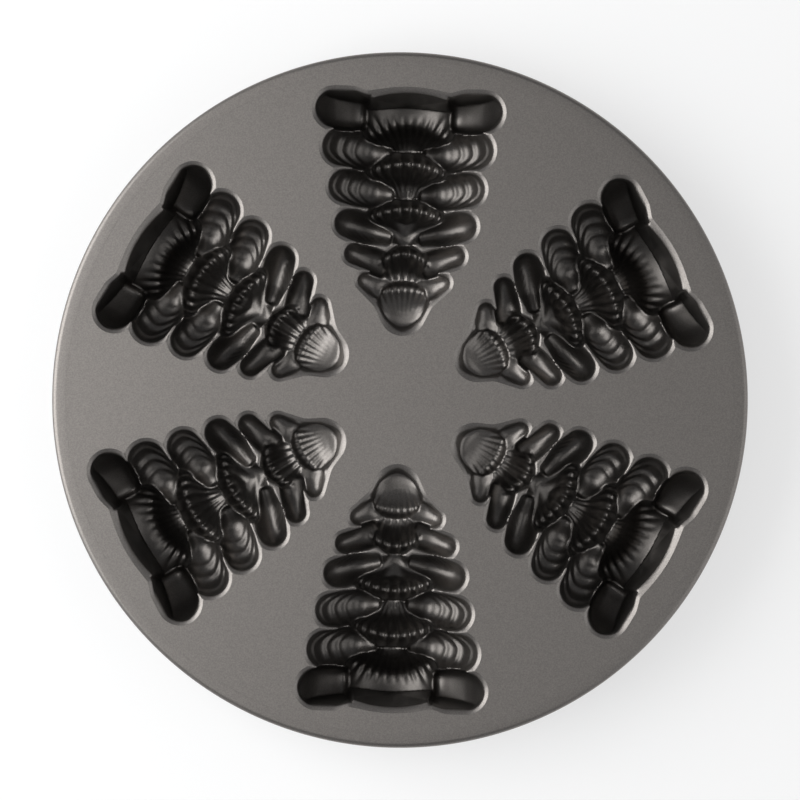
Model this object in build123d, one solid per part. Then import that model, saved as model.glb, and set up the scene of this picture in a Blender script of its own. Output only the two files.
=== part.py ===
from build123d import *
import math
import os

# Round cast baking pan with six half-tree cavities. Sizes are in millimetres.
# The frame: +Z up, origin on the table under the pan's centre. Each tree is drawn in its own frame
# with its axis along +Y, its tip nearest the pan's centre, and then turned into its place.

# Pan
tree_count = 6
deck_thickness = 3.2
wall = 3.0
foot_cut = 0.3

# Rim: a band round the deck with a rounded edge and a short skirt turned down under it
base_to_edge = 18.3
rim_band = 6.5
rim_skirt_drop = 7.5
rim_skirt_thickness = 3.4
rim_edge_round = 2.2
rim_foot_round = 1.2
rim_inner_round = 2.0

# Rounding of the ends of the deck's tongues between boughs, and of each cavity's mouth. The mouth's rounding
# may take up to this share of a tongue's half width
notch_round = 0.6
mouth_round = 0.4
mouth_round_share = 0.7

# Tip and hollow shoulders of a cavity's outline. A shoulder's circle clears the tip's by a gap, and its
# centre lies a little nearer the pan's centre than the tip's does
tip_start = 31.5
tip_round = 8.5
shoulder_round = 12.0
shoulder_gap = 0.5
shoulder_lead = 3.5

# Base of a cavity's outline, and its nearly upright wall, on which a half cake stands when two make one tree
base_radius = 140.7
base_round = 62.0
bough_base_step = 0.3
base_notch_x = 19.0
base_notch_round = 1.2
base_notch_gap = 0.5
heel_step = 8.0
heel_round = 8.0
base_wall_gap = 0.6
base_draft = 6.0

# The tree's plan is drawn from its tip at 0 to its base, and is stretched to reach from the tip's place to
# the base's. Side boughs, from the tip to the base: root centre, root radius, tip centre, tip radius, depth
# at the root. The last ones lie along the base wall
boughs = [
    dict(root=(9.0, 20.0), root_r=6.0, tip=(17.3, 22.5), tip_r=3.2, depth=8.5),
    dict(root=(7.1, 29.5), root_r=5.5, tip=(22.8, 34.7), tip_r=4.2, depth=12.5),
    dict(root=(8.0, 44.0), root_r=9.5, tip=(26.0, 48.5), tip_r=5.9, depth=16.5),
    dict(root=(9.0, 64.2), root_r=11.2, tip=(28.0, 65.5), tip_r=7.1, depth=20.5),
    dict(root=(7.0, 80.5), root_r=10.0, tip=(30.3, 83.5), tip_r=8.2, depth=24.5),
    dict(root=(18.0, 100.7), root_r=8.6, tip=(34.0, 100.7), tip_r=8.2, depth=24.0),
]
drawn_bough_base = boughs[-1]["tip"][1] + boughs[-1]["tip_r"]
drawn_base = drawn_bough_base + bough_base_step
stretch = (base_radius - tip_start) / drawn_base

# Centres of the rounded ends of the deck's tongues, one between each bough and the next
notches = [(14.1, 26.5), (17.6, 38.1), (19.8, 55.1), (21.4, 73.5), (27.8, 92.1)]

# How much wider than the outline the boughs' hollows are before the mouth's upright wall trims them
lobe_spread = 0.4

# Centre fans, from the tip to the base. Each is a bell with these sections across the tree's axis:
# distance from the tip, half width, depth below the deck. The last one runs on past the base wall, which
# cuts it off
fan_overrun = 5.0
fans = [
    [(-1.0, 7.0, 4.6), (6.5, 10.6, 7.5), (15.5, 11.0, 12.4), (19.5, 10.4, 12.2), (24.5, 8.0, 7.0)],
    [(18.5, 7.0, 7.6), (26.5, 8.8, 11.5), (33.0, 12.4, 18.0), (36.5, 12.0, 18.0), (41.5, 9.0, 11.0)],
    [(34.5, 5.0, 10.0), (44.5, 7.6, 14.8), (52.0, 16.2, 24.0), (56.5, 16.4, 24.0), (62.5, 11.0, 15.0)],
    [(54.5, 6.0, 14.0), (65.5, 9.6, 20.5), (73.5, 18.2, 30.0), (78.5, 18.0, 30.0), (85.0, 12.0, 20.0)],
    [(76.5, 9.0, 19.0), (86.0, 13.0, 25.5), (94.5, 20.0, 34.6), (102.5, 21.8, 35.3),
     (drawn_base + fan_overrun, 22.0, 35.3)],
]

deepest = max(depth for sections in fans for distance, half_width, depth in sections)
pan_height = deepest + wall - foot_cut
deck_top = pan_height
deck_under = deck_top - deck_thickness
pan_radius = base_radius + base_to_edge
deck_radius = pan_radius - rim_band


def belt(rounds):
    """A closed face whose edge runs like a belt round circles, given anticlockwise as (centre, radius).

    A positive radius is a circle inside the edge, and a negative one is a notch's circle, outside it.
    """
    normals = []
    for i, (centre, radius) in enumerate(rounds):
        next_centre, next_radius = rounds[(i + 1) % len(rounds)]
        across = Vector(*next_centre) - Vector(*centre)
        lean = math.asin((next_radius - radius) / across.length)
        direction = across.normalized().rotate(Axis.Z, -math.degrees(lean))
        normals.append(direction.rotate(Axis.Z, 90))
    edge = Curve()
    for i, (centre, radius) in enumerate(rounds):
        arrive, leave = normals[i - 1], normals[i]
        first = Vector(*centre) - arrive * radius
        turn = math.degrees(math.atan2(arrive.cross(leave).Z, arrive.dot(leave)))
        turn = turn % 360 if radius > 0 else -(-turn % 360)
        middle = Vector(*centre) - arrive.rotate(Axis.Z, turn / 2) * radius
        last = Vector(*centre) - leave * radius
        next_centre, next_radius = rounds[(i + 1) % len(rounds)]
        edge += ThreePointArc(first, middle, last)
        edge += Line(last, Vector(*next_centre) - leave * next_radius)
    return make_face(edge)


def placed(x, y):
    """A point of the drawn plan, in its real place."""
    return (x * stretch, tip_start + y * stretch)


def tree_outline():
    """Plan of the cavity's mouth, from the tip round the right side, the base and the left side."""
    base_centre = drawn_base - base_round
    reach = base_round + base_notch_round + base_notch_gap
    notch_y = base_centre + math.sqrt(reach**2 - base_notch_x**2)
    shoulder = (tip_round + shoulder_round + shoulder_gap, tip_round - shoulder_lead)
    side = [(shoulder, -shoulder_round)]
    for bough, notch in zip(boughs, notches):
        side.append((bough["tip"], bough["tip_r"]))
        side.append((notch, -notch_round))
    side.append((boughs[-1]["tip"], boughs[-1]["tip_r"]))
    side.append(((base_notch_x + heel_step, drawn_bough_base - heel_round), heel_round))
    side.append(((base_notch_x, notch_y), -base_notch_round))
    other_side = [((-x, y), radius) for (x, y), radius in reversed(side)]
    tip = ((0, tip_round), tip_round)
    base = ((0, base_centre), base_round)
    rounds = [tip] + side + [base] + other_side
    return belt([(placed(*centre), radius * stretch) for centre, radius in rounds])


def fan_lobe(sections, grow):
    """A centre fan, as a bell through half-ellipse sections, grown outwards by a wall."""
    faces = []
    for i, (distance, half_width, depth) in enumerate(sections):
        shift = grow * (2 * i / (len(sections) - 1) - 1)
        x, y = placed(half_width, distance)
        plane = Plane(origin=(0, y + shift, deck_under), x_dir=(1, 0, 0), z_dir=(0, -1, 0))
        faces.append(plane * Ellipse(x + grow, depth - deck_thickness + grow))
    return loft(faces)


def bough_lobe(bough, grow, side):
    """A side bough, as a tapered round-ended bar, deepened below the deck and grown by a wall."""
    root, tip = Vector(*placed(*bough["root"])), Vector(*placed(*bough["tip"]))
    root_radius = bough["root_r"] * stretch + lobe_spread + grow
    tip_radius = bough["tip_r"] * stretch + lobe_spread + grow
    length = (tip - root).length
    lean = math.asin((root_radius - tip_radius) / length)
    up = Vector(math.sin(lean), math.cos(lean))
    end_up = Vector(math.sin(lean / 2 - math.pi / 4), math.cos(lean / 2 - math.pi / 4))
    tip_up = Vector(math.sin(lean / 2 + math.pi / 4), math.cos(lean / 2 + math.pi / 4))
    far = Vector(length, 0)
    profile = Curve() + ThreePointArc((-root_radius, 0), end_up * root_radius, up * root_radius)
    profile += Line(up * root_radius, far + up * tip_radius)
    profile += ThreePointArc(far + up * tip_radius, far + tip_up * tip_radius, (length + tip_radius, 0))
    profile += Line((length + tip_radius, 0), (-root_radius, 0))
    bar = revolve(make_face(profile), Axis.X)
    deepen = (bough["depth"] - deck_thickness + grow) / root_radius
    bar = scale(bar, by=(1, 1, deepen))
    bearing = math.degrees(math.atan2(tip.Y - root.Y, tip.X - root.X))
    lobe = Pos(root.X, root.Y, deck_under) * Rot(0, 0, bearing) * bar
    return lobe if side > 0 else mirror(lobe, Plane.YZ)


def tree_lobes(plan, grow):
    """The space under the deck that a cavity takes up, or with a wall grown on it, the cup's outside."""
    lobes = [fan_lobe(sections, grow) for sections in fans]
    lobes += [bough_lobe(bough, grow, side) for bough in boughs for side in (1, -1)]
    lean = math.tan(math.radians(base_draft))
    back = base_radius + base_wall_gap + grow - deck_thickness * lean
    foot = back - deck_under * lean
    block_side = Plane.YZ * Polygon((0, deck_under), (back, deck_under), (foot, 0), (0, 0), align=None)
    block = extrude(block_side, amount=base_radius, both=True)
    prism = extrude(plan, amount=deck_under)
    return (lobes[0] + lobes[1:]) & block & prism


def tree_cup():
    """One cavity's walls, with the ring of deck round its mouth."""
    mouth = tree_outline()
    window = offset(mouth, wall, kind=Kind.ARC)
    ring = extrude(Pos(0, 0, deck_under) * (window - mouth), amount=deck_thickness)
    mouth_edges = ring.faces().sort_by(Axis.Z)[-1].inner_wires()[0].edges()
    ring = fillet(mouth_edges, min(mouth_round, notch_round * stretch * mouth_round_share))
    shell = tree_lobes(window, wall) - tree_lobes(mouth, 0)
    return ring + shell


def deck_plate():
    """The flat deck, with a window for each cup."""
    window = offset(tree_outline(), wall, kind=Kind.ARC)
    plan = Circle(deck_radius) - [Rot(0, 0, angle) * window for angle in tree_angles]
    return extrude(Pos(0, 0, deck_under) * plan, amount=deck_thickness)


def edge_rim():
    """The band round the deck, whose edge rolls over into a short skirt."""
    skirt_bottom = deck_top - rim_skirt_drop
    skirt_inside = pan_radius - rim_skirt_thickness
    section = Plane.XZ * Polygon(
        (deck_radius, deck_top),
        (pan_radius, deck_top),
        (pan_radius, skirt_bottom),
        (skirt_inside, skirt_bottom),
        (skirt_inside, deck_under),
        (deck_radius, deck_under),
        align=None,
    )
    section = fillet(section.vertices().group_by(Axis.X)[1].sort_by(Axis.Z)[-1], rim_inner_round)
    section = fillet(section.vertices().group_by(Axis.X)[-1].sort_by(Axis.Z)[-1], rim_edge_round)
    section = fillet(section.vertices().group_by(Axis.Z)[0], rim_foot_round)
    return revolve(section, Axis.Z)


tree_angles = [360 / tree_count * i for i in range(tree_count)]
os.makedirs("parts", exist_ok=True)
export_step(deck_plate(), "parts/deck_plate.step")
export_step(edge_rim(), "parts/edge_rim.step")
cup = tree_cup()
for number, angle in enumerate(tree_angles, start=1):
    export_step(Rot(0, 0, angle) * cup, f"parts/tree_cup_{number}.step")
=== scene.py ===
import math

import bmesh
import bpy
from mathutils import Matrix, Vector

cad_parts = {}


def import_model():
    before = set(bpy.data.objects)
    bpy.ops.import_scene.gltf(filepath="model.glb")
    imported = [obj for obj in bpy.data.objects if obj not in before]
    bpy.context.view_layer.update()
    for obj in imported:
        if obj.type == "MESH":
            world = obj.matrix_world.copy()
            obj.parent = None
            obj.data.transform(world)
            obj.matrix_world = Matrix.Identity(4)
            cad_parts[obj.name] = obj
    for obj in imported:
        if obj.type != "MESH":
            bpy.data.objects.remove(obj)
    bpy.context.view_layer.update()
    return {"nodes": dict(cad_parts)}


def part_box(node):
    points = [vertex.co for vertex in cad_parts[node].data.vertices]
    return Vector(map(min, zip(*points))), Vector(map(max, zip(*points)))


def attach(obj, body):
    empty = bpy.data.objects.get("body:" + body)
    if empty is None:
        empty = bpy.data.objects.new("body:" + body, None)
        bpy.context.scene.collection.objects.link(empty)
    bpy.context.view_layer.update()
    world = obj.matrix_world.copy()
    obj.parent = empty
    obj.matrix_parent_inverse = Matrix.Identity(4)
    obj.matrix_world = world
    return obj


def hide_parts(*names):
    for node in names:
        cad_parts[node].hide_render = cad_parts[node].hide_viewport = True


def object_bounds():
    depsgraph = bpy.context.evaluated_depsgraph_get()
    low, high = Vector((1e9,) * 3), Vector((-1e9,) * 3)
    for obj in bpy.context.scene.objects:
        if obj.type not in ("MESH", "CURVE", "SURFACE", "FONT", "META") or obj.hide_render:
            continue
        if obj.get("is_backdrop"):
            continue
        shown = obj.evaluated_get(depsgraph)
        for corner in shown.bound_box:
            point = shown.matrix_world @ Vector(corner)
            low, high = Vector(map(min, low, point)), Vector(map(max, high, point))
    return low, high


MM = 0.001

# Each tree is modelled in millimetres in its own frame: x across the tree, y from the pan's centre outwards,
# and depths are measured down from the deck's top. It is then turned into its place and scaled to metres.
TREE_COUNT = 6
CUP_WALL = 3.0
VOXEL = 0.42
UNDERSIDE_VOXEL = 0.9
MOST_TRIANGLES = 190000
SHARPEST = math.radians(55.0)

# Points of the frame's meshes this close, in metres, are one point. A face is level when its normal's upward
# part is over this. A lobe's distances in from its edge don't fall below the smallest one
MERGE = 1e-6
LEVEL_NORMAL = 0.999
SMALLEST = 0.01

# Segments round and rings along a lobe, for the hollow and for the cup's coarser outside
FINE_FAN, COARSE_FAN = (240, 110), (96, 40)
FINE_BOUGH, COARSE_BOUGH = (150, 150), (72, 60)

# The edge of a cavity's mouth is an arc with its gentlest slope at the deck and its steepest at the upright
# wall, which the plan of the mouth cuts this deep. It is made by moving the points whose normals have at
# least this much sideways part. Lobes rise above the deck, where the plan trims them
MOUTH_ROUND = 3.7
MOUTH_GENTLEST = math.radians(8.0)
MOUTH_STEEPEST = math.radians(50.0)
MOUTH_DEPTH = 1.6
UPRIGHT_ENOUGH = 0.2
ABOVE_DECK = 3.0
ABOVE_DECK_SHAPE = 0.2

# The rim round the deck
RIM_SKIRT = 3.4
RIM_EDGE_ROUND = 2.4
RIM_FOOT_ROUND = 1.2
RIM_INNER_ROUND = 2.0
RIM_ROUND_STEPS = 8
RIM_STEPS = 360

# The base wall, on which a half cake stands, leans in as it goes down
BASE_RADIUS = 140.7
BASE_ROUND = 62.0
BOUGH_BASE = 140.4
BASE_SLOPE = math.tan(math.radians(6.0))

# Flutes reach their full depth where a fan is this wide on each side. The base fan's end short of the base
# wall, and the cap's start past its flat tip, and both fade over the same length
FULL_FLUTES_AT = 12.0
FLUTES_END = 134.0
FLUTES_FADE = 8.0

# Nested bands follow the edge of a fan's neck, and give way to its flutes between these shares of its length
NESTED_DEPTH = 0.9
NESTED_FROM, NESTED_TO = 0.45, 0.65

# A facet's wall gains this much depth per millimetre in from the lobe's edge, its floor is this round, and
# its lip takes up this share of the way from the lobe's edge level to its deepest line
STEEP_WALL = 4.6
FACET_ROUND = 0.3
FACET_LIP = 1 / 12

# How far the ribs' arcs bend on the side towards the base and the side towards the apex, as a share of a
# bough's tip radius, and how far the first rib is from the tip, as a share of a rib
RIB_BULGE = 0.4
RIB_SWEEP = 1.5
RIB_START = 0.5

# Ribs fade out between these shares of a bough's length, and by its edge. The ribs on the side towards the
# apex fade towards the tip instead, and start this far to the side
RIBS_FROM, RIBS_FULL = 0.25, 0.6
RIB_EDGE_FADE = 1.2
APEX_RIBS_END, APEX_RIBS_FULL = 0.9, 0.6
APEX_SIDE_FROM, APEX_SIDE_FULL = -0.2, -0.7

# A bough's root end reaches back by this share of its half width there. Its roundness changes from the root's
# to the tip's between these shares of its length, and a tilted floor is lifted a little as a whole
ROOT_END = 0.5
ROOT_SHAPE_TO, TIP_SHAPE_FROM = 0.1875, 0.8125
TILT_LIFT = 0.3

# Centre fans, from the tip to the base. Each section across a fan is (distance from the pan's centre in the
# middle, distance at the sides, half width, depth). Its flutes spread from a focus by an angle each, or
# divide the fan evenly. How round a section is: 1 is half an ellipse, and less is flatter in the middle and
# steeper at the sides. The cap is a flat facet with a steep wall instead
FANS = [
    dict(
        sections=[
            (31.6, 36.4, 7.2, 2.2), (34.0, 38.6, 9.0, 7.6), (38.5, 41.6, 10.6, 8.2),
            (43.0, 44.5, 11.8, 9.2), (47.5, 46.8, 12.2, 11.8), (50.6, 48.4, 12.0, 13.2),
            (53.0, 50.0, 11.4, 12.0), (54.8, 51.5, 10.4, 8.2),
        ],
        focus=27.0, spread=7.2, start=38.0, flute_depth=0.8, wall=STEEP_WALL,
    ),
    dict(
        sections=[
            (52.5, 50.5, 8.0, 8.6), (55.5, 52.3, 8.8, 9.2), (58.5, 54.2, 10.4, 10.6),
            (61.8, 56.6, 12.2, 14.4), (65.2, 59.2, 13.4, 18.0), (68.0, 61.6, 13.8, 18.9),
            (70.0, 63.6, 13.4, 16.4), (71.3, 65.2, 12.4, 10.5),
        ],
        flutes=9, flute_depth=1.6, round=0.45,
    ),
    dict(
        sections=[
            (71.0, 71.5, 5.2, 13.4), (74.5, 74.2, 6.6, 14.6), (78.3, 76.8, 8.8, 15.6),
            (81.8, 79.0, 11.8, 18.2), (85.2, 80.6, 15.0, 22.6), (88.3, 82.3, 17.4, 25.0),
            (90.4, 84.2, 18.0, 24.0), (92.0, 86.0, 17.4, 19.6), (93.0, 87.5, 16.0, 14.0),
        ],
        flutes=11, flute_depth=1.9, round=0.5, nested=2.6,
    ),
    dict(
        sections=[
            (93.0, 93.2, 5.8, 17.2), (96.3, 96.0, 7.8, 18.2), (99.8, 98.4, 10.4, 20.2),
            (103.4, 100.0, 14.0, 24.6), (107.0, 101.4, 17.6, 29.2), (110.2, 103.4, 19.2, 31.2),
            (112.3, 106.0, 19.4, 29.8), (113.8, 108.6, 18.6, 25.2), (115.0, 110.5, 17.0, 19.6),
        ],
        flutes=11, flute_depth=1.8, round=0.5,
    ),
    dict(
        sections=[
            (114.0, 113.0, 5.4, 20.6), (117.0, 115.2, 8.0, 21.6), (120.0, 116.4, 11.0, 24.0),
            (123.0, 117.4, 14.4, 28.6), (126.2, 118.8, 17.6, 33.2), (129.2, 120.6, 20.0, 35.3),
            (133.0, 124.0, 21.2, 35.2), (138.0, 131.0, 21.6, 33.8), (144.0, 140.0, 21.6, 32.0),
        ],
        focus=104.0, spread=8.6, flute_depth=1.6, round=0.3, base_round=BASE_ROUND, base=BASE_RADIUS,
    ),
]

# Side boughs, from the tip to the base: centres of the root and of the tip's round end, then half width and
# depth at even steps from the root's centre to the tip's very end, before the end is rounded, and how round
# the bough is at its root and at its tip. The ribs are rounded hollows, this far apart and this deep; where
# they keep to the side towards the apex, apex_ribs is set. A tilted floor is deepest along the base wall
BOUGHS = [
    dict(root=(8.6, 50.6), tip=(17.3, 54.0), tip_r=3.6,
         shape=[(5.6, 9.2), (5.2, 9.4), (4.3, 8.2), (3.6, 6.4)], round=(0.35, 0.95)),
    dict(root=(9.4, 61.4), tip=(22.8, 66.2), tip_r=4.6,
         shape=[(5.8, 13.6), (5.8, 13.6), (5.2, 11.4), (4.6, 8.4)], round=(0.35, 1.0)),
    dict(root=(7.4, 75.2), tip=(26.0, 80.0), tip_r=6.2,
         shape=[(4.8, 14.2), (6.6, 16.6), (6.9, 15.0), (6.2, 10.6)], round=(0.75, 0.95),
         rib=3.4, rib_depth=1.0, apex_ribs=True),
    dict(root=(7.4, 94.6), tip=(28.0, 97.0), tip_r=7.4,
         shape=[(5.2, 17.4), (7.9, 20.4), (8.3, 18.6), (7.8, 14.6), (7.4, 10.0)], round=(0.5, 0.5),
         rib=5.1, rib_depth=1.15),
    dict(root=(9.0, 113.4), tip=(30.3, 115.0), tip_r=8.5,
         shape=[(5.4, 21.4), (8.5, 24.2), (9.2, 22.0), (8.9, 17.2), (8.5, 11.5)], round=(0.5, 0.5),
         rib=5.5, rib_depth=1.25),
    dict(root=(22.5, 134.4), tip=(33.6, 134.4), tip_r=9.2,
         shape=[(10.4, 29.5), (10.9, 26.0), (10.9, 21.5), (10.6, 16.0), (10.2, 10.0)], round=(0.4, 0.4),
         tilt=-0.22, base=BOUGH_BASE),
]

# The coating, with heights above the table in metres. It lies thicker in the carving, where it is glossier
# than on the deck. Its colour is darkened with depth in the carving as painted shade, down to this share at
# the deepest
FLAKE_DARK, FLAKE_LIGHT = "#777370", "#86827e"
FLAKE_SIZE = 0.0006
FLAKE_LOW, FLAKE_HIGH = 0.3, 0.7
DARKEST_HEIGHT, LIGHTEST_HEIGHT = 0.024, 0.0366
CARVING_PAINTED_SHADE = 0.5
GLOSSIEST_HEIGHT, DULLEST_HEIGHT = 0.034, 0.038
CARVING_ROUGHNESS, DECK_ROUGHNESS = 0.38, 0.46

# The floor, which is a paler white to the camera than its lighting makes it
FLOOR_COLOUR = "#f2f2f2"
FLOOR_ROUGHNESS = 0.8
FLOOR_HALF_SIDE = 3.0
FLOOR_GLOW = 0.6

# The camera looks straight down on a pan that is turned a little. Lengths are in metres
CAMERA_ABOVE_DECK = 1.15
CAMERA_TURN = math.radians(1.8)
SENSOR = 36.0
PICTURE_WIDTH = 800
PAN_IN_PICTURE = 697.1

# Square lamps: place, side and power in watts. The sky is brightest at the horizon and fades upwards
LIGHTS = {
    "key": ((-1.0, 0.1, 0.65), 1.3, 22.0),
    "fill": ((1.1, -0.2, 0.85), 1.5, 6.5),
    "top": ((-0.5, 0.0, 1.8), 1.4, 6.3),
}
LIGHT_AIM = (0.0, 0.0, 0.03)
SKY_COLOUR = "#e4e6ea"
SKY_TOP = 0.95
SKY_AT_HORIZON, SKY_OVERHEAD = 0.6, 0.1


def linear(hex_colour):
    """An sRGB hex colour as linear RGBA."""
    channels = [int(hex_colour[i:i + 2], 16) / 255 for i in (1, 3, 5)]
    return [c / 12.92 if c <= 0.04045 else ((c + 0.055) / 1.055) ** 2.4 for c in channels] + [1.0]


def ramp(value, start, end):
    """0 up to the start, 1 from the end on, and even between them."""
    return max(0.0, min(1.0, (value - start) / (end - start)))


def curve_through(rows, t):
    """The row at t from 0 to 1 on a smooth curve through rows of numbers."""
    place = min(max(t, 0.0), 1.0) * (len(rows) - 1)
    i = min(int(place), len(rows) - 2)
    f = place - i
    before, start, end, after = rows[max(i - 1, 0)], rows[i], rows[i + 1], rows[min(i + 2, len(rows) - 1)]
    values = []
    for a, b, c, d in zip(before, start, end, after):
        values.append(b + 0.5 * f * (c - a + f * (2 * a - 5 * b + 4 * c - d + f * (3 * (b - c) + d - a))))
    return values


def scallop(u):
    """A row of rounded swells that meet in cusps at whole numbers: 0 at a cusp, 1 on a swell's crown."""
    return 1 - (2 * (u % 1.0) - 1) ** 2


def closed_lobe(segments, rings):
    """A sphere whose poles lie on the lobe's axis, with each vertex's place along and angle across."""
    bm = bmesh.new()
    bmesh.ops.create_uvsphere(bm, u_segments=segments, v_segments=rings, radius=1.0)
    spots = []
    for v in bm.verts:
        along = math.acos(max(-1.0, min(1.0, v.co.z))) / math.pi
        across = math.atan2(v.co.x, v.co.y)
        spots.append((v, along, across))
    return bm, spots


def floor_height(lobe, depth, margin, level, roundness):
    """Height of a lobe's surface, either round or a facet met by a steep wall that starts at the lobe's edge.

    Where the level is below zero, the point is on the upper half, which goes straight up past the deck.
    """
    if level < 0:
        return ABOVE_DECK * abs(level) ** ABOVE_DECK_SHAPE
    if "wall" in lobe:
        wall_depth = (MOUTH_DEPTH + margin * lobe["wall"]) * ramp(level, 0.0, FACET_LIP)
        return -min(depth * level ** FACET_ROUND, wall_depth)
    return -depth * level ** roundness


def stand_on_base(spot, lobe, grow):
    """Keeps a point of a lobe inside the base wall."""
    if "base" not in lobe:
        return
    curve = lobe.get("base_round")
    set_back = curve - math.sqrt(curve**2 - spot.x**2) if curve else 0.0
    spot.y = min(spot.y, lobe["base"] + grow - set_back + min(spot.z, 0.0) * BASE_SLOPE)


def flute_cut(fan, x, y, along, across, half, margin):
    """How much higher a fan's floor is at a point for its flutes, whose crests fade out at its plain ends."""
    if "focus" in fan:
        place = math.degrees(math.atan2(x, y - fan["focus"])) / fan["spread"] + 0.5
    else:
        place = (across / math.pi + 0.5) * fan["flutes"]
    cut = fan["flute_depth"] * (1 - scallop(place)) * min(1.0, half / FULL_FLUTES_AT)
    if "nested" in fan:
        from_neck = max(y - fan["sections"][0][0], SMALLEST)
        inwards = 1 / (1 / from_neck + 1 / max(margin, SMALLEST))
        band = NESTED_DEPTH * (1 - scallop(inwards / fan["nested"]))
        cut = band + (cut - band) * ramp(along, NESTED_FROM, NESTED_TO)
    if "base" in fan:
        cut *= ramp(y, FLUTES_END, FLUTES_END - FLUTES_FADE)
    if "start" in fan:
        cut *= ramp(y, fan["start"], fan["start"] + FLUTES_FADE)
    return cut


def fan_lobe(fan, grow=0.0):
    """A fluted centre fan, shaped like half a bell."""
    bm, spots = closed_lobe(*(COARSE_FAN if grow else FINE_FAN))
    for v, along, across in spots:
        middle, side, half_width, depth = curve_through(fan["sections"], along)
        sine, level = math.sin(across), math.cos(across)
        half = half_width + grow
        x = half * sine
        y = middle + (side - middle) * sine * sine + grow * (2 * along - 1)
        margin = half * (1 - abs(sine))
        height = floor_height(fan, depth + grow, margin, level, fan.get("round"))
        if grow == 0.0 and level > 0:
            cut = flute_cut(fan, x, y, along, across, half, margin)
            if height < -cut - MOUTH_DEPTH:
                height += cut
        v.co = Vector((x, y, height))
        stand_on_base(v.co, fan, grow)
    return bm


def rib_cut(bough, distance, aside, reach, margin):
    """How much higher a bough's floor is at a point for its ribs.

    Their crests are arcs round the tip, and on the side towards the apex they sweep back.
    """
    radius = bough["tip_r"]
    share = aside / radius
    along = distance / (reach + radius)
    swept = radius * share * share * (RIB_SWEEP if share < 0 else RIB_BULGE)
    swell = scallop((reach + radius - distance - swept) / bough["rib"] + RIB_START)
    fade = ramp(margin, 0.0, RIB_EDGE_FADE)
    if "apex_ribs" in bough:
        fade *= ramp(along, APEX_RIBS_END, APEX_RIBS_FULL) * ramp(share, APEX_SIDE_FROM, APEX_SIDE_FULL)
    else:
        fade *= ramp(along, RIBS_FROM, RIBS_FULL)
    return bough["rib_depth"] * (1 - swell) * fade


def bough_lobe(bough, grow=0.0):
    """A side bough with rounded ribs, on the right of the tree."""
    root, tip = Vector(bough["root"]), Vector(bough["tip"])
    reach = (tip - root).length
    heading = (tip - root).normalized()
    sideways = Vector((-heading.y, heading.x))
    tip_radius = bough["tip_r"] + grow
    root_end = ROOT_END * bough["shape"][0][0] + grow
    length = root_end + reach + tip_radius
    at_root, at_tip = bough["round"]
    tilt = bough.get("tilt", 0.0)
    bm, spots = closed_lobe(*(COARSE_BOUGH if grow else FINE_BOUGH))
    for v, along, across in spots:
        distance = length * (1 - math.cos(math.pi * along)) / 2 - root_end
        half, depth = curve_through(bough["shape"], distance / (reach + tip_radius))
        half += grow
        past = (distance - reach) / tip_radius if distance > reach else max(0.0, -distance / root_end)
        rounding = math.sqrt(max(0.0, 1 - past * past))
        sine, level = math.sin(across), math.cos(across)
        aside = half * rounding * sine
        if distance > reach:
            margin = tip_radius - math.hypot(distance - reach, aside)
        else:
            margin = min(half * rounding - abs(aside), distance + root_end)
        margin = max(margin, 0.0)
        depth *= math.sqrt(rounding) * (1 + tilt * sine) / (1 + abs(tilt) * TILT_LIFT)
        roundness = at_root + (at_tip - at_root) * ramp(distance / length, ROOT_SHAPE_TO, TIP_SHAPE_FROM)
        height = floor_height(bough, depth + grow, margin, level, roundness)
        if grow == 0.0 and height < 0 and "rib" in bough:
            height = min(height + rib_cut(bough, distance, aside, reach, margin), 0.0)
        spot = root + heading * distance + sideways * aside
        v.co = Vector((spot.x, spot.y, height))
        stand_on_base(v.co, bough, grow)
    return bm


def mesh_from(bm, name):
    """A mesh made from a bmesh, with its faces turned outwards."""
    mesh = bpy.data.meshes.new(name)
    bmesh.ops.recalc_face_normals(bm, faces=bm.faces)
    bm.to_mesh(mesh)
    bm.free()
    return mesh


def joined(meshes, name):
    """One object holding several meshes as they are."""
    bm = bmesh.new()
    for mesh in meshes:
        bm.from_mesh(mesh)
        bpy.data.meshes.remove(mesh)
    mesh = bpy.data.meshes.new(name)
    bm.to_mesh(mesh)
    bm.free()
    piece = bpy.data.objects.new(name, mesh)
    bpy.context.scene.collection.objects.link(piece)
    return piece


def finished(piece):
    """Applies a piece's modifiers."""
    bpy.context.view_layer.update()
    evaluated = piece.evaluated_get(bpy.context.evaluated_depsgraph_get())
    mesh = bpy.data.meshes.new_from_object(evaluated)
    old = piece.data
    piece.modifiers.clear()
    piece.data = mesh
    bpy.data.meshes.remove(old)
    return piece


def remeshed(piece, voxel):
    """Melts overlapping closed lobes into one skin."""
    modifier = piece.modifiers.new("melt", "REMESH")
    modifier.mode = "VOXEL"
    modifier.voxel_size = voxel
    return finished(piece)


def boolean(piece, other, operation):
    """Cuts another object from a piece, or joins it or keeps what both share, and uses it up."""
    modifier = piece.modifiers.new("cut", "BOOLEAN")
    modifier.operation = operation
    modifier.solver = "MANIFOLD"
    modifier.object = other
    finished(piece)
    bpy.data.objects.remove(other)
    return piece


def thinned(piece, most):
    """Joins small triangles where the surface is smoothest, until there are few enough."""
    count = sum(len(p.vertices) - 2 for p in piece.data.polygons)
    if count > most:
        modifier = piece.modifiers.new("thin", "DECIMATE")
        modifier.ratio = most / count
        finished(piece)
    return piece


def smooth(piece, times):
    """Evens out a piece's surface."""
    bm = bmesh.new()
    bm.from_mesh(piece.data)
    for _ in range(times):
        bmesh.ops.smooth_vert(
            bm, verts=bm.verts, factor=0.5, use_axis_x=True, use_axis_y=True, use_axis_z=True,
        )
    bm.to_mesh(piece.data)
    bm.free()


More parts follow.
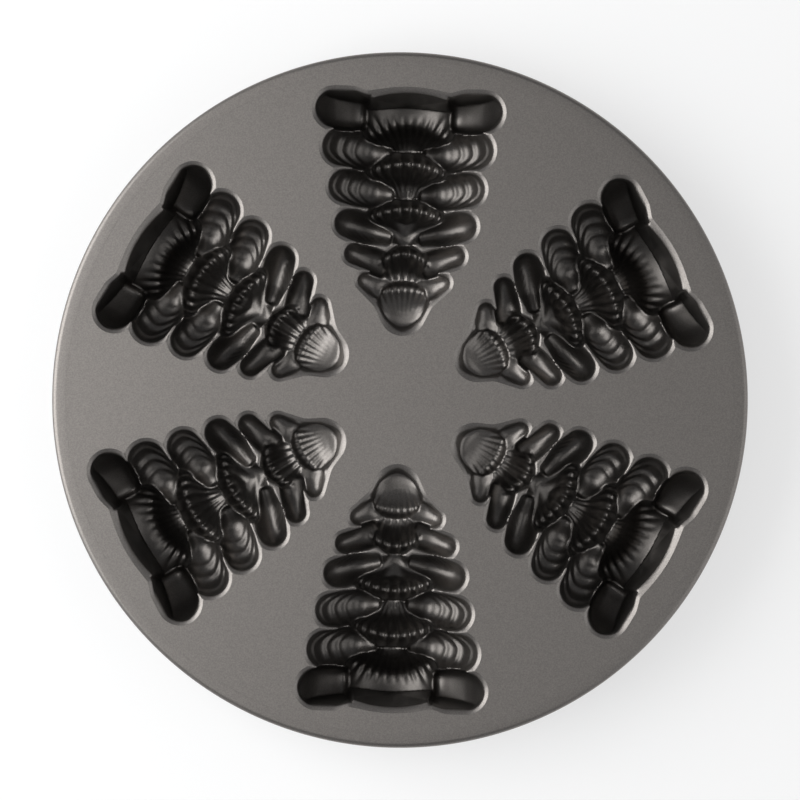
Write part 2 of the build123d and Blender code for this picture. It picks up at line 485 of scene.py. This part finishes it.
def tree_form(grow, voxel, name, more):
    """All of a tree's lobes, and one more mesh, melted into one form.

    That is the hollow itself, or with a wall grown on the lobes, the cup's outside.
    """
    meshes = [mesh_from(fan_lobe(fan, grow), "fan") for fan in FANS]
    for bough in BOUGHS:
        right = mesh_from(bough_lobe(bough, grow), "bough")
        left = right.copy()
        left.transform(Matrix.Scale(-1, 4, (1, 0, 0)))
        left.flip_normals()
        meshes += [right, left]
    return remeshed(joined(meshes + [more], name), voxel)


def flare_mouth(piece):
    """Widens the hollow near the deck's top, so that the mouth's edge is an arc down to the upright wall."""
    bm = bmesh.new()
    bm.from_mesh(piece.data)
    bm.normal_update()
    moves = []
    for v in bm.verts:
        slope = math.acos(max(-1.0, math.cos(MOUTH_GENTLEST) + min(v.co.z, 0.0) / MOUTH_ROUND))
        flat = Vector((v.normal.x, v.normal.y, 0.0))
        if slope >= MOUTH_STEEPEST or flat.length < UPRIGHT_ENOUGH:
            continue
        widen = MOUTH_ROUND * (math.sin(MOUTH_STEEPEST) - math.sin(slope))
        moves.append((v, flat.normalized() * widen))
    for v, move in moves:
        v.co += move
    bm.to_mesh(piece.data)
    bm.free()


def merged_copy(node):
    """A bmesh of a node's triangles, joined up and in metres."""
    bm = bmesh.new()
    bm.from_mesh(node.data)
    bmesh.ops.remove_doubles(bm, verts=bm.verts, dist=MERGE)
    bm.normal_update()
    return bm


def in_millimetres(node, deck_top):
    """A copy of a node, in a tree's own frame."""
    bm = merged_copy(node)
    bmesh.ops.translate(bm, vec=(0, 0, -deck_top), verts=bm.verts)
    bmesh.ops.scale(bm, vec=(1 / MM, 1 / MM, 1 / MM), verts=bm.verts)
    return mesh_from(bm, "solid")


def edge_groups(edges):
    """Groups of edges that hang together."""
    left = set(edges)
    groups = []
    while left:
        group = []
        spread = [left.pop()]
        while spread:
            e = spread.pop()
            group.append(e)
            for v in e.verts:
                for other in v.link_edges:
                    if other in left:
                        left.discard(other)
                        spread.append(other)
        groups.append(group)
    return groups


def ring_loops(cup, deck_top):
    """The outer and inner edges of the ring of deck round a cup, from its own top face, in millimetres."""
    bm = merged_copy(cup)
    below = [f for f in bm.faces
             if f.normal.z < LEVEL_NORMAL or abs(f.calc_center_median().z - deck_top) > SMALLEST * MM]
    bmesh.ops.delete(bm, geom=below, context="FACES")
    loops = edge_groups([e for e in bm.edges if e.is_boundary])
    loops.sort(key=lambda loop: max(v.co.x for e in loop for v in e.verts))
    bmesh.ops.scale(bm, vec=(1 / MM, 1 / MM, 0), verts=bm.verts)
    return bm, loops[-1], loops[0]


def prism(cup, deck_top, outer, high, low):
    """A solid plate with the outline of the ring's outer or inner edge."""
    bm, outer_loop, inner_loop = ring_loops(cup, deck_top)
    loop = set(outer_loop if outer else inner_loop)
    keep = set(v for e in loop for v in e.verts)
    bmesh.ops.delete(bm, geom=list(bm.faces), context="FACES_ONLY")
    bmesh.ops.delete(bm, geom=[e for e in bm.edges if e not in loop], context="EDGES")
    bmesh.ops.delete(bm, geom=[v for v in bm.verts if v not in keep], context="VERTS")
    plate = bmesh.ops.contextual_create(bm, geom=list(bm.edges))["faces"]
    bmesh.ops.translate(bm, vec=(0, 0, high), verts=bm.verts)
    grown = bmesh.ops.extrude_face_region(bm, geom=plate)["geom"]
    lower = [g for g in grown if isinstance(g, bmesh.types.BMVert)]
    bmesh.ops.translate(bm, vec=(0, 0, low - high), verts=lower)
    bmesh.ops.triangulate(bm, faces=bm.faces)
    return mesh_from(bm, "prism")


def slab(low, high, side=400):
    """A wide box between two heights, for cutting."""
    bm = bmesh.new()
    bmesh.ops.create_cube(bm, size=1.0)
    bmesh.ops.scale(bm, vec=(side, side, high - low), verts=bm.verts)
    bmesh.ops.translate(bm, vec=(0, 0, (high + low) / 2), verts=bm.verts)
    return joined([mesh_from(bm, "slab")], "slab")


def drop_pockets(piece):
    """Takes out the closed pockets left inside the walls, and keeps the skin that shows."""
    bm = bmesh.new()
    bm.from_mesh(piece.data)
    skins = sorted(edge_groups(bm.edges), key=len)
    spare = set(v for skin in skins[:-1] for e in skin for v in e.verts)
    bmesh.ops.delete(bm, geom=list(spare), context="VERTS")
    bm.to_mesh(piece.data)
    bm.free()


def shade(cup):
    """Smooth all over, apart from the flat ring of deck, whose edge stays crisp."""
    bm = bmesh.new()
    bm.from_mesh(cup.data)
    bm.normal_update()
    for f in bm.faces:
        f.smooth = not (f.normal.z > LEVEL_NORMAL and abs(f.calc_center_median().z) < SMALLEST)
    for e in bm.edges:
        flat = [not f.smooth for f in e.link_faces]
        e.smooth = not any(flat) and e.calc_face_angle(0.0) < SHARPEST
    bm.to_mesh(cup.data)
    bm.free()


def build_cup(node):
    """A cup in a tree's own frame: the carved hollow cut out of a shell that takes in the solid's outside."""
    low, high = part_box("deck_plate")
    deck_top, deck_thickness = high.z, (high.z - low.z) / MM
    foot = -deck_top / MM
    mouth = prism(node, deck_top, False, ABOVE_DECK, -MOUTH_DEPTH)
    hollow = tree_form(0.0, VOXEL, "hollow", mouth)
    upright = joined([prism(node, deck_top, False, ABOVE_DECK - VOXEL, foot)], "upright")
    hollow = remeshed(boolean(hollow, upright, "INTERSECT"), VOXEL)
    flare_mouth(hollow)
    hollow = remeshed(hollow, VOXEL)
    smooth(hollow, 1)
    shell = tree_form(CUP_WALL, UNDERSIDE_VOXEL, "shell", in_millimetres(node, deck_top))
    smooth(shell, 2)
    shell = boolean(shell, slab(foot, -deck_thickness / 2), "INTERSECT")
    cup = joined([prism(node, deck_top, True, 0.0, -deck_thickness)], "cup")
    cup = boolean(cup, shell, "UNION")
    cup = boolean(cup, hollow, "DIFFERENCE")
    thinned(cup, MOST_TRIANGLES)
    drop_pockets(cup)
    shade(cup)
    return cup, deck_top


def rolled_rim():
    """The band round the deck, whose edge rolls over into a short skirt, spun round the pan's axis."""
    low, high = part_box("edge_rim")
    deck_low, deck_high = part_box("deck_plate")
    inside = high.x - RIM_SKIRT * MM
    corners = [
        ((deck_high.x, high.z), 0.0),
        ((high.x, high.z), RIM_EDGE_ROUND),
        ((high.x, low.z), RIM_FOOT_ROUND),
        ((inside, low.z), RIM_FOOT_ROUND),
        ((inside, deck_low.z), RIM_INNER_ROUND),
        ((deck_high.x, deck_low.z), 0.0),
    ]
    bm = bmesh.new()
    verts = [bm.verts.new((x, 0, z)) for (x, z), _ in corners]
    bm.faces.new(verts)
    for vert, (_, radius) in zip(verts, corners):
        if radius:
            bmesh.ops.bevel(bm, geom=[vert], offset=radius * MM, segments=RIM_ROUND_STEPS, profile=0.5,
                            affect="VERTICES", material=-1)
    bmesh.ops.delete(bm, geom=list(bm.faces), context="FACES_ONLY")
    bmesh.ops.spin(bm, geom=list(bm.verts) + list(bm.edges), cent=(0, 0, 0), axis=(0, 0, 1),
                   angle=math.radians(360), steps=RIM_STEPS, use_merge=True)
    bmesh.ops.remove_doubles(bm, verts=bm.verts, dist=MERGE)
    rim = joined([mesh_from(bm, "rolled_rim")], "rolled_rim")
    rim.data.shade_smooth()
    rim.data.set_sharp_from_angle(angle=SHARPEST)
    return rim


def add_node(tree, kind, settings=None, links=None):
    """A new shader node, with its settings or its inputs' values, and links into its inputs."""
    node = tree.nodes.new(kind)
    for name, value in (settings or {}).items():
        if name in node.inputs:
            node.inputs[name].default_value = value
        else:
            setattr(node, name, value)
    for name, socket in (links or {}).items():
        tree.links.new(socket, node.inputs[name])
    return node


def coating():
    """Non-stick coating sprayed on cast aluminium: a satin grey, with painted shade that darkens it with
    depth in the carving.

    It has a speckle of fine metal flake. Real flake is too fine to show, so it is drawn about 0.6 mm across.
    """
    material = bpy.data.materials.new("nonstick_coating")
    material.use_nodes = True
    tree = material.node_tree
    shader = tree.nodes["Principled BSDF"]
    shader.inputs["Metallic"].default_value = 1.0
    place = add_node(tree, "ShaderNodeTexCoord")
    flake = add_node(tree, "ShaderNodeTexNoise", {"Scale": 1 / FLAKE_SIZE, "Detail": 1.0},
                     {"Vector": place.outputs["Object"]})
    tint = add_node(tree, "ShaderNodeValToRGB", links={"Fac": flake.outputs["Fac"]})
    dark, light = tint.color_ramp.elements
    dark.position, dark.color = FLAKE_LOW, linear(FLAKE_DARK)
    light.position, light.color = FLAKE_HIGH, linear(FLAKE_LIGHT)
    apart = add_node(tree, "ShaderNodeSeparateXYZ", links={"Vector": place.outputs["Object"]})
    height = {"Value": apart.outputs["Z"]}
    # Painted shade: the coat's colour is darkened with depth in the carving, to half at the deepest
    painted_shade = add_node(tree, "ShaderNodeMapRange",
                         {"From Min": DARKEST_HEIGHT, "From Max": LIGHTEST_HEIGHT, "To Min": CARVING_PAINTED_SHADE,
                          "To Max": 1.0}, height)
    shaded = add_node(tree, "ShaderNodeVectorMath", {"operation": "MULTIPLY"},
                      {0: tint.outputs["Color"], 1: painted_shade.outputs["Result"]})
    tree.links.new(shaded.outputs["Vector"], shader.inputs["Base Color"])
    gloss = add_node(tree, "ShaderNodeMapRange",
                     {"From Min": GLOSSIEST_HEIGHT, "From Max": DULLEST_HEIGHT, "To Min": CARVING_ROUGHNESS,
                      "To Max": DECK_ROUGHNESS}, height)
    tree.links.new(gloss.outputs["Result"], shader.inputs["Roughness"])
    return material


def stage():
    """A white table that keeps the pan's soft shadow, and is plain white in the metal's reflections."""
    bm = bmesh.new()
    bmesh.ops.create_grid(bm, x_segments=1, y_segments=1, size=FLOOR_HALF_SIDE)
    floor = joined([mesh_from(bm, "floor")], "floor")
    material = bpy.data.materials.new("white_table")
    material.use_nodes = True
    tree = material.node_tree
    shader = tree.nodes["Principled BSDF"]
    shader.inputs["Base Color"].default_value = linear(FLOOR_COLOUR)
    shader.inputs["Roughness"].default_value = FLOOR_ROUGHNESS
    path = add_node(tree, "ShaderNodeLightPath")
    glow = add_node(tree, "ShaderNodeEmission", {"Color": (1, 1, 1, 1), "Strength": 1.0})
    seen = add_node(tree, "ShaderNodeMath", {"operation": "MULTIPLY"}, {0: path.outputs["Is Camera Ray"]})
    seen.inputs[1].default_value = FLOOR_GLOW
    mirrored = add_node(tree, "ShaderNodeMath", {"operation": "MAXIMUM"},
                        {0: path.outputs["Is Glossy Ray"], 1: path.outputs["Is Transmission Ray"]})
    either = add_node(tree, "ShaderNodeMath", {"operation": "MAXIMUM"},
                      {0: seen.outputs[0], 1: mirrored.outputs[0]})
    mix = add_node(tree, "ShaderNodeMixShader",
                   links={0: either.outputs[0], 1: shader.outputs[0], 2: glow.outputs[0]})
    tree.links.new(mix.outputs[0], tree.nodes["Material Output"].inputs["Surface"])
    floor.data.materials.append(material)
    floor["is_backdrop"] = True


def camera():
    """Straight above the deck, framed so that the pan is as wide in the picture as in the photograph."""
    low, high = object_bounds()
    seen = (high.x - low.x) * PICTURE_WIDTH / PAN_IN_PICTURE
    lens = bpy.data.cameras.new("camera")
    lens.sensor_width = SENSOR
    lens.lens = SENSOR * CAMERA_ABOVE_DECK / seen
    rig = bpy.data.objects.new("camera", lens)
    rig.location = (0, 0, high.z + CAMERA_ABOVE_DECK)
    rig.rotation_euler = (0, 0, CAMERA_TURN)
    bpy.context.scene.collection.objects.link(rig)
    bpy.context.scene.camera = rig


def studio_light():
    """Large soft lamps, and a sky that fades upwards."""
    for name, (place, side, power) in LIGHTS.items():
        light = bpy.data.lights.new(name, "AREA")
        light.shape = "RECTANGLE"
        light.size = light.size_y = side
        light.energy = power
        lamp = bpy.data.objects.new(name, light)
        lamp.location = place
        lamp.rotation_euler = (Vector(LIGHT_AIM) - Vector(place)).to_track_quat("-Z", "Y").to_euler()
        bpy.context.scene.collection.objects.link(lamp)
    world = bpy.data.worlds.new("studio")
    world.use_nodes = True
    tree = world.node_tree
    sky = tree.nodes["Background"]
    sky.inputs["Color"].default_value = linear(SKY_COLOUR)
    direction = add_node(tree, "ShaderNodeTexCoord")
    apart = add_node(tree, "ShaderNodeSeparateXYZ", links={"Vector": direction.outputs["Generated"]})
    fall = add_node(tree, "ShaderNodeMapRange",
                    {"From Min": 0.0, "From Max": SKY_TOP, "To Min": SKY_AT_HORIZON, "To Max": SKY_OVERHEAD},
                    {"Value": apart.outputs["Z"]})
    tree.links.new(fall.outputs["Result"], sky.inputs["Strength"])
    bpy.context.scene.world = world


def main():
    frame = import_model()
    bpy.context.scene.view_settings.view_transform = "Standard"
    finish = coating()
    for node in frame["nodes"].values():
        node.data.materials.clear()
        node.data.materials.append(finish)
    cup, deck_top = build_cup(frame["nodes"]["tree_cup_1"])
    for number in range(1, TREE_COUNT + 1):
        mesh = cup.data.copy()
        mesh.transform(Matrix.Scale(MM, 4))
        mesh.transform(Matrix.Translation((0, 0, deck_top)))
        mesh.transform(Matrix.Rotation(math.radians(360 / TREE_COUNT * (number - 1)), 4, "Z"))
        piece = bpy.data.objects.new(f"cavity_{number}", mesh)
        bpy.context.scene.collection.objects.link(piece)
        mesh.materials.clear()
        mesh.materials.append(finish)
        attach(piece, "root")
        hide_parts(f"tree_cup_{number}")
    bpy.data.objects.remove(cup)
    rim = rolled_rim()
    rim.data.materials.append(finish)
    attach(rim, "root")
    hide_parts("edge_rim")
    stage()
    camera()
    studio_light()


main()
